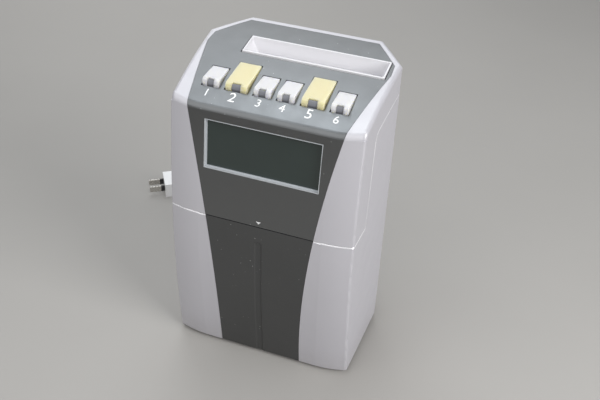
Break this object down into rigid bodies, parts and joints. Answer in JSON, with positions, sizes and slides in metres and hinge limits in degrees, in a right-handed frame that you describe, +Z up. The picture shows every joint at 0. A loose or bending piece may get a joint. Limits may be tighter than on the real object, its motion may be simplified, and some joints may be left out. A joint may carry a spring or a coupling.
{
  "type": "electronic time clock",
  "caption": "Table-top electronic time clock: tapered two-tone case with a hinged top cover, sprung keys, a display, a card slot over feed rollers and a print carriage, and a mains cord.",
  "frame": {"origin": "on the table under the middle of the body's box, cord not counted", "axes": "+Z up, -Y towards the user at the display and keys, +X to the user's right"},
  "size_m": [0.2813, 0.2462, 0.255],
  "materials": {
    "casing_white": "fine grained, cool white",
    "panel_upper": "satin grey paint",
    "panel_lower": "satin dark grey paint",
    "base_black": "black moulding",
    "rubber_black": "matt",
    "screw_zinc": "zinc plated",
    "bezel_silver": "silver paint",
    "lens_clear": "clear window",
    "lcd_green": "dark green display",
    "key_white": "satin",
    "key_yellow": "satin pale yellow",
    "lamp_smoke": "smoked window",
    "board_green": "solder mask",
    "chip_black": "moulded",
    "sheet_steel": "zinc coated sheet",
    "shaft_steel": "ground",
    "bush_brass": "sintered",
    "roller_rubber": "ground rubber",
    "gear_nylon": "natural nylon",
    "motor_steel": "plated can",
    "head_grey": "die cast",
    "black_plastic": "moulded",
    "ribbon_cloth": "inked cloth",
    "belt_rubber": "matt",
    "cap_blue": "shrink sleeve",
    "cell_green": "shrink sleeve",
    "core_steel": "laminated",
    "coil_copper": "taped winding",
    "cord_grey": "smooth sheath",
    "plug_white": "moulded",
    "blade_brass": "nickel on brass"
  },
  "bodies": {
    "case": {"main_case": "casing_white", "lower_panel": "panel_lower", "base_plate": "base_black", "rubber_feet": "rubber_black", "case_screws": "screw_zinc", "card_funnel": "casing_white", "card_guide_front": "sheet_steel", "card_guide_rear": "sheet_steel", "chassis": "sheet_steel", "shaft_bushes": "bush_brass", "feed_motor": "motor_steel", "guide_rod": "shaft_steel", "platen": "roller_rubber", "ribbon_cartridge": "black_plastic", "ink_ribbon": "ribbon_cloth", "drive_plate": "sheet_steel", "carriage_motor": "motor_steel", "carriage_belt": "belt_rubber", "main_board": "board_green", "board_screws": "screw_zinc", "board_chips": "chip_black", "capacitors": "cap_blue", "backup_battery": "cell_green", "buzzer": "chip_black", "transformer_core": "core_steel", "transformer_coil": "coil_copper", "hinge_pin": "shaft_steel", "strain_relief": "cord_grey", "cord_lead": "cord_grey", "cord_coil": "cord_grey", "cord_tail": "cord_grey", "cord_tie": "black_plastic", "mains_plug": "plug_white", "plug_blades": "blade_brass"},
    "cover": {"upper_cover": "casing_white", "upper_panel": "panel_upper", "display_bezel": "bezel_silver", "display_lens": "lens_clear", "lcd_module": "lcd_green", "lamp_windows": "lamp_smoke", "key_board": "board_green", "key_switches": "chip_black", "cover_screws": "screw_zinc"},
    "key1": {"key_1": "key_white"},
    "key2": {"key_2": "key_yellow"},
    "key3": {"key_3": "key_white"},
    "key4": {"key_4": "key_white"},
    "key5": {"key_5": "key_yellow"},
    "key6": {"key_6": "key_white"},
    "feed": {"feed_shaft": "shaft_steel", "feed_rollers": "roller_rubber", "drive_gear": "gear_nylon"},
    "pinion": {"motor_pinion": "bush_brass"},
    "pinch": {"pinch_shaft": "shaft_steel", "pinch_rollers": "roller_rubber"},
    "print_carriage": {"carriage": "black_plastic", "print_head": "head_grey"},
    "pulley_drive": {"drive_pulley": "gear_nylon"},
    "pulley_idler": {"idler_pulley": "gear_nylon"}
  },
  "joints": [
    {"name": "cover_hinge", "type": "hinge", "parent": "case", "child": "cover", "pos_m": [0, 0.058, 0.246], "axis": [-1, 0, 0], "range_deg": [0, 70]},
    {"name": "key_1_push", "type": "slide", "parent": "cover", "child": "key1", "axis": [0, 0.2393, -0.9709], "range_m": [0, 0.0015], "stiffness_N_per_m": 400, "springref_m": -0.001},
    {"name": "key_2_push", "type": "slide", "parent": "cover", "child": "key2", "axis": [0, 0.2393, -0.9709], "range_m": [0, 0.0015], "stiffness_N_per_m": 400, "springref_m": -0.001},
    {"name": "key_3_push", "type": "slide", "parent": "cover", "child": "key3", "axis": [0, 0.2393, -0.9709], "range_m": [0, 0.0015], "stiffness_N_per_m": 400, "springref_m": -0.001},
    {"name": "key_4_push", "type": "slide", "parent": "cover", "child": "key4", "axis": [0, 0.2393, -0.9709], "range_m": [0, 0.0015], "stiffness_N_per_m": 400, "springref_m": -0.001},
    {"name": "key_5_push", "type": "slide", "parent": "cover", "child": "key5", "axis": [0, 0.2393, -0.9709], "range_m": [0, 0.0015], "stiffness_N_per_m": 400, "springref_m": -0.001},
    {"name": "key_6_push", "type": "slide", "parent": "cover", "child": "key6", "axis": [0, 0.2393, -0.9709], "range_m": [0, 0.0015], "stiffness_N_per_m": 400, "springref_m": -0.001},
    {"name": "feed_turn", "type": "hinge", "parent": "case", "child": "feed", "pos_m": [0, 0.01715, 0.1495], "axis": [1, 0, 0], "continuous": true},
    {"name": "pinion_turn", "type": "hinge", "parent": "case", "child": "pinion", "pos_m": [0, 0.00287, 0.13522], "axis": [1, 0, 0], "continuous": true},
    {"name": "pinch_turn", "type": "hinge", "parent": "case", "child": "pinch", "pos_m": [0, 0.03065, 0.1495], "axis": [1, 0, 0], "continuous": true},
    {"name": "carriage_slide", "type": "slide", "parent": "case", "child": "print_carriage", "axis": [1, 0, 0], "range_m": [-0.024, 0.024]},
    {"name": "drive_pulley_turn", "type": "hinge", "parent": "case", "child": "pulley_drive", "pos_m": [0.04862, 0.003, 0.171], "axis": [0, 1, 0], "range_deg": [-209, 209]},
    {"name": "idler_pulley_turn", "type": "hinge", "parent": "case", "child": "pulley_idler", "pos_m": [-0.02138, 0.003, 0.171], "axis": [0, 1, 0], "range_deg": [-209, 209]}
  ],
  "couplings": [
    {"joint": "pinion_turn", "follows": "feed_turn", "ratio": -4},
    {"joint": "pinch_turn", "follows": "feed_turn", "ratio": -1.6},
    {"joint": "drive_pulley_turn", "follows": "carriage_slide", "rad_per_m": 151.52},
    {"joint": "idler_pulley_turn", "follows": "carriage_slide", "rad_per_m": 151.52}
  ]
}
